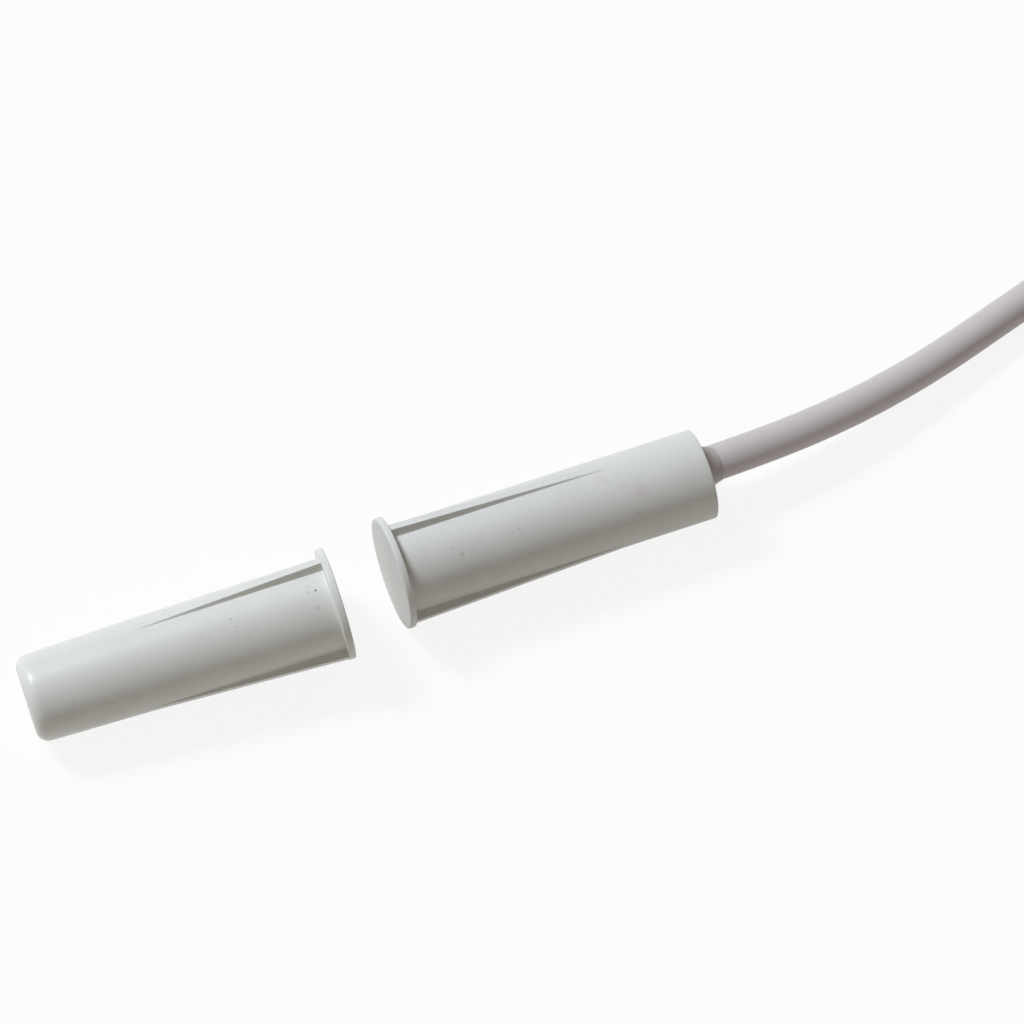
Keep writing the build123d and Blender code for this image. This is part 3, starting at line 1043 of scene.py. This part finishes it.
@dataclass
class MagnetHalf(Thimble):
    """The half with the magnet: closed at its rounded rear, with a cap in the flange's face."""

    length: float = 27.9
    flange_d: float = 9.86
    flange_t: float = 0.65
    root_r: float = 4.1754
    tail_r: float = 4.0236
    rear_r: float = 3.8
    rib_length: float = 17.4
    rib_rolls: tuple[float, ...] = (29.0, 144.0, 259.0)
    plastic: MouldedPlastic = Finishes.magnet_plastic
    face_x: float = SwitchHalf.face_x - 5.1  # the gap between the faces
    face_y: float = -0.5
    heading: float = 180 - 2.4
    rear_round: float = 0.6  # the solid's, on which the half leans
    seen_round: float = 1.1
    end_wall: float = 1.4
    bore_r: float = 2.9
    seat_round: float = 0.05
    seat_edge_round: float = 0.08
    cap_r: float = 3.4
    cap_t: float = 0.8
    cap_clearance: float = 0.05
    cap_sunk: float = 0.03
    cap_round: float = 0.1
    arc_points: int = 7
    inner_nodes: ClassVar[Mapping[str, Finish]] = {
        "bar_magnet": Finishes.magnet_alloy,
        "magnet_glue": Finishes.glue,
    }

    @property
    def tilt(self) -> float:
        """Fall of the axis, from the flange's back edge to the rounded end.

        Returns:
            The angle, in radians.
        """
        run = self.length - self.rear_round - self.flange_t
        drop = self.flange_r - self.rear_r + self.rear_round
        return atan2(drop, run) - asin(self.rear_round / hypot(run, drop))

    def profile(self) -> np.ndarray:
        """From the inside of the end wall along the bore, over the flange to the rounded end."""
        return rounded(
            [
                (self.length - self.end_wall, 0, 0),
                (self.length - self.end_wall, self.bore_r, self.bore_round),
                (self.cap_t, self.bore_r, 0),
                (self.cap_t, self.cap_r, self.seat_round),
                (0, self.cap_r, self.seat_edge_round),
                (0, self.flange_r, self.rim_round),
                (self.flange_t, self.flange_r, self.flange_round),
                (self.flange_t, self.root_r, self.root_round),
                (self.flange_t + self.rib_length, self.tail_r, 0),
                (self.length, self.rear_r, self.seen_round),
                (self.length, 0, 0),
            ],
            steps=self.arc_points,
        )

    def build_cap(self) -> Object:
        """The cap, a disc with rounded edges, a hair below the flange's face.

        Returns:
            The piece.
        """
        radius = self.cap_r - self.cap_clearance
        corners = [
            (self.cap_t, 0, 0),
            (self.cap_t, radius, self.seat_round),
            (self.cap_sunk, radius, self.cap_round),
            (self.cap_sunk, 0, 0),
        ]
        line = spread(rounded(corners), self.longest)
        turn = np.linspace(0, 2 * pi, self.small_columns, endpoint=False)
        grid = self.frame().place(
            np.broadcast_to(line[:, :1], (len(line), len(turn))),
            line[:, 1:] * np.cos(turn),
            line[:, 1:] * np.sin(turn),
        )
        return piece_from_grid("cap_disc", grid, self.plastic, ["magnet_cap"])


@dataclass
class CableRun:
    """The cable, from its end in the resin to its cut end in the coil. Millimetres.

    The sheath leaves the mouth along the barrel, sinks to the surface and swings away from
    the front. What the photograph doesn't reach is wound in a neat coil beyond its edge.
    """

    diameter: float = 3.2
    leave: tuple[float, float, float] = (30.358, 0.85, 4.447)
    route: tuple[tuple[float, float, float], ...] = (
        (23.861, 0.85, 4.668),
        (32.356, 0.85, 4.38),
        (42.9, 1.71, 3.48),
        (52.6, 3.92, 2.22),
        (62.0, 6.93, 1.62),
        (72.0, 9.9, 1.6),
    )
    taper: tuple[float, ...] = (1.0, 1.0, 0.99, 0.97, 0.96, 0.96)
    coil_lead: float = 10.0
    coil_middle_d: float = 33.0
    coil_columns: int = 4
    coil_layers: int = 5
    pitch: float = 3.27
    full_turns: float = 19.0
    leave_coil: float = 18.84
    come_in: float = 0.27
    points_per_turn: int = 24
    crossing: float = 0.12
    crossing_gap: float = 0.01
    first_climb: float = 0.84
    end_turn: float = 100.0
    end_in: float = 3.35
    floor_gap: float = 0.02
    roundness: int = 6
    steps_between: int = 4

    def coil_plan(self) -> tuple[np.ndarray, float, float]:
        """Where the coil lies.

        Returns:
            Its centre, the radius of its outer turns, and the angle where the cable meets it.
        """
        last, before = np.array(self.route[-1]), np.array(self.route[-2])
        lead = (last - before)[:2]
        lead = lead / np.hypot(*lead)
        touch = last[:2] + lead * self.coil_lead
        outer = self.coil_middle_d / 2 + (self.coil_columns - 1) / 2 * self.pitch
        to_centre = np.array([lead[1], -lead[0]])
        return touch + to_centre * outer, outer, atan2(-to_centre[1], -to_centre[0])

    def turns(self) -> np.ndarray:
        """Control points of the coil's turns and of the end that comes in from them.

        The cable fills the coil column by column from the outside, up one and down the
        next. It keeps its radius and its height for most of a turn, and steps to the next
        place with a smooth step, a little earlier each time it changes column, so that no
        two turns meet. A quadratic spline runs inside its control points, so these lie out
        by one over the cosine of half their angle.

        Returns:
            The points, clockwise from where the cable meets the coil.
        """
        centre, outer, start = self.coil_plan()
        column = np.arange(self.coil_columns)[:, None]
        filled = self.coil_layers - 2 * self.crossing - 2 * self.crossing_gap
        first = self.first_climb + column * filled
        climbs = first + np.arange(self.coil_layers - 1)
        changes = first[:-1] + self.coil_layers - 1 - self.crossing - self.crossing_gap
        way = np.broadcast_to(np.where(column % 2 == 0, 1.0, -1.0), climbs.shape)
        last = self.full_turns + self.end_turn / 360
        turned = np.linspace(0, last, int(last * self.points_per_turn))[1:]

        def stepped(t: np.ndarray, places: np.ndarray, signs: np.ndarray) -> np.ndarray:
            """Sum of the smooth steps at those places."""
            share = smooth_step((t[:, None] - places.ravel()) / self.crossing + 0.5)
            return (share * signs.ravel()).sum(1)

        radius = outer - self.pitch * stepped(turned, changes, np.ones_like(changes))
        height = self.diameter / 2 + self.pitch * stepped(turned, climbs, way)
        ending = smooth_step((turned - self.leave_coil) / self.come_in)
        radius = radius / cos(pi / self.points_per_turn) - self.end_in * ending
        height = height + self.floor_gap * ending
        angle = start - 2 * pi * turned
        return np.stack(
            [centre[0] + radius * np.cos(angle), centre[1] + radius * np.sin(angle), height], 1
        )

    def build(self) -> Object:
        """The sheath: one smooth open spline over the route and the turns.

        Returns:
            The cable.
        """
        turns = self.turns()
        points = np.concatenate([np.array(self.route), turns]) * MM
        curve = bpy.data.curves.new("cable_sheath", "CURVE")
        curve.dimensions = "3D"
        curve.bevel_depth = self.diameter / 2 * MM
        curve.bevel_resolution = self.roundness
        curve.use_fill_caps = True
        spline = curve.splines.new("NURBS")
        spline.points.add(len(points) - 1)
        spline.points.foreach_set(
            "co", np.concatenate([points, np.ones((len(points), 1))], 1).ravel()
        )
        thick = np.concatenate([self.taper, np.full(len(turns), self.taper[-1])])
        spline.points.foreach_set("radius", thick)
        spline.order_u = 3
        spline.use_endpoint_u = True
        spline.resolution_u = self.steps_between
        curve.resolution_u = self.steps_between
        curve.render_resolution_u = 0
        cable = new_object("cable_sheath", curve)
        Finishes.sheath.dress(cable)
        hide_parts("cable", "cable_coil", "cable_end")
        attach(cable, BODY)
        return cable

    def dress_tails(self) -> None:
        """Gives the four core tails and their tinned ends their finishes."""
        for shade in CoreColour:
            Finishes.core(shade).dress(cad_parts[f"tail_{shade.word}"])
        Finishes.tinned.dress(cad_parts["tinned_ends"])


@dataclass
class Studio:
    """Camera, floor, sky and lamp. Lengths in millimetres, angles in degrees, power in watts."""

    azimuth: float = -20.55
    elevation: float = 64.0
    target: tuple[float, float, float] = (14.378, 4.652, 0.0)
    distance: float = 495.3
    lens: float = 200.0
    sensor: float = 36.0
    floor_size: float = 6000.0
    floor_lines: int = 9
    floor_roughness: float = 0.9
    floor_colour: str = "#F3EEE6"
    floor_glow: float = 0.88
    backdrop: float = 1.0
    sky_colour: str = "#FFF3EA"
    sky: float = 0.23
    key_rise: float = 55.0
    key_lead: float = 22.0
    key_distance: float = 1400.0
    key_target: tuple[float, float, float] = (8.0, 0.0, 0.0)
    key_long: float = 420.0
    key_short: float = 280.0
    key_power: float = 19.3
    key_colour: str = "#EAF3FD"

    def build_camera(self) -> Object:
        """The camera, which looks down on the pair from the front.

        Returns:
            The scene's camera.
        """
        data = bpy.data.cameras.new("camera")
        data.lens = self.lens
        data.sensor_width = self.sensor
        camera = new_object("camera", data)
        a, e = radians(self.azimuth), radians(self.elevation)
        back = Vector((sin(a) * cos(e), -cos(a) * cos(e), sin(e)))
        target = Vector(self.target) * MM
        eye = target + back * self.distance * MM
        turn = (target - eye).to_track_quat("-Z", "Y")
        camera.matrix_world = Matrix.Translation(eye) @ turn.to_matrix().to_4x4()
        bpy.context.scene.camera = camera
        return camera

    def looked_at(self, tree: NodeTree) -> NodeSocket:
        """1 where the camera, gloss or glass looks, and 0 for the light that falls on things.

        Args:
            tree: the nodes of the floor or of the sky.

        Returns:
            The larger of the three kinds of ray.
        """
        path = add_node(tree, "ShaderNodeLightPath")
        seen = path.outputs["Is Camera Ray"]
        for kind in ("Is Glossy Ray", "Is Transmission Ray"):
            seen = add_node(
                tree, "ShaderNodeMath", {0: seen, 1: path.outputs[kind]}, operation="MAXIMUM"
            ).outputs[0]
        return seen

    def build_floor(self) -> Object:
        """A large plain floor, white to the camera but for part of the object's shadow.

        Returns:
            The floor.
        """
        side = np.linspace(-0.5, 0.5, self.floor_lines) * self.floor_size * MM
        x, y = np.meshgrid(side, side)
        points = np.stack([x.ravel(), y.ravel(), np.zeros(x.size)], 1)
        n = len(side)
        corner = (np.arange(n - 1)[:, None] * n + np.arange(n - 1)).ravel()
        quads = np.stack([corner, corner + 1, corner + n + 1, corner + n], 1)
        mesh = bpy.data.meshes.new("floor")
        mesh.from_pydata(points.tolist(), [], quads.tolist())
        floor = new_object("floor", mesh)
        made = bpy.data.materials.new("pale_paper_sweep")
        made.use_nodes = True
        tree = made.node_tree
        shader = tree.nodes["Principled BSDF"]
        paper = {"Base Color": linear(self.floor_colour), "Roughness": self.floor_roughness}
        fill(tree, shader, {**paper, "Specular IOR Level": 0.0})
        glow = add_node(tree, "ShaderNodeEmission", {"Color": WHITE, "Strength": 1.0})
        part = add_node(
            tree,
            "ShaderNodeMath",
            {0: self.looked_at(tree), 1: self.floor_glow},
            operation="MULTIPLY",
        )
        seen = add_node(
            tree,
            "ShaderNodeMixShader",
            {0: part.outputs[0], 1: shader.outputs[0], 2: glow.outputs[0]},
        )
        fill(tree, tree.nodes["Material Output"], {"Surface": seen.outputs[0]})
        mesh.materials.append(made)
        return floor

    def build_world(self) -> None:
        """A dim warm sky that is white where the camera, gloss or glass looks at it."""
        world = bpy.data.worlds.new("studio")
        bpy.context.scene.world = world
        world.use_nodes = True
        tree = world.node_tree
        sky = tree.nodes["Background"]
        fill(tree, sky, {"Color": linear(self.sky_colour), "Strength": self.sky})
        white = add_node(tree, "ShaderNodeBackground", {"Color": WHITE, "Strength": self.backdrop})
        mixed = add_node(
            tree,
            "ShaderNodeMixShader",
            {0: self.looked_at(tree), 1: sky.outputs[0], 2: white.outputs[0]},
        )
        fill(tree, tree.nodes["World Output"], {"Surface": mixed.outputs[0]})

    def build_key(self) -> Object:
        """A long soft box behind the object and to its left, its long side along the object.

        Its direction is given by a rise, the angle over the surface seen along the object,
        and a lead, the angle by which it stands out to the left.

        Returns:
            The lamp.
        """
        data = bpy.data.lights.new("long_softbox", "AREA")
        data.shape = "RECTANGLE"
        data.size, data.size_y = self.key_long * MM, self.key_short * MM
        data.energy = self.key_power
        data.color = linear(self.key_colour)[:3]
        lamp = new_object("long_softbox", data)
        rise, lead = radians(self.key_rise), radians(self.key_lead)
        away = Vector((-sin(lead), cos(lead) * cos(rise), cos(lead) * sin(rise)))
        ahead = Vector((1.0, 0.0, 0.0))
        along = (ahead - away * ahead.dot(away)).normalized()
        turn = Matrix((along, away.cross(along), away)).transposed().to_4x4()
        place = (Vector(self.key_target) + away * self.key_distance) * MM
        lamp.matrix_world = Matrix.Translation(place) @ turn
        return lamp


def main() -> None:
    """Builds the studio, the cable and the two halves, and reports each piece."""
    logging.basicConfig(level=logging.INFO, format="%(message)s")
    scene = bpy.context.scene
    scene.view_settings.view_transform = "Standard"
    studio = Studio()
    log.info("camera %s", studio.build_camera().name)
    cable = CableRun()
    log.info("cable %s", cable.build().name)
    cable.dress_tails()
    switch = SwitchHalf()
    log.info("switch half: %s", switch.build("switch_thimble", "switch_housing").name)
    log.info("switch half: %s", switch.build_resin().name)
    switch.dress_inner()
    magnet = MagnetHalf()
    log.info("magnet half: %s", magnet.build("magnet_thimble", "magnet_housing").name)
    log.info("magnet half: %s", magnet.build_cap().name)
    magnet.dress_inner()
    studio.build_floor()
    studio.build_world()
    log.info("lamp %s", studio.build_key().name)


if __name__ == "__main__":
    main()
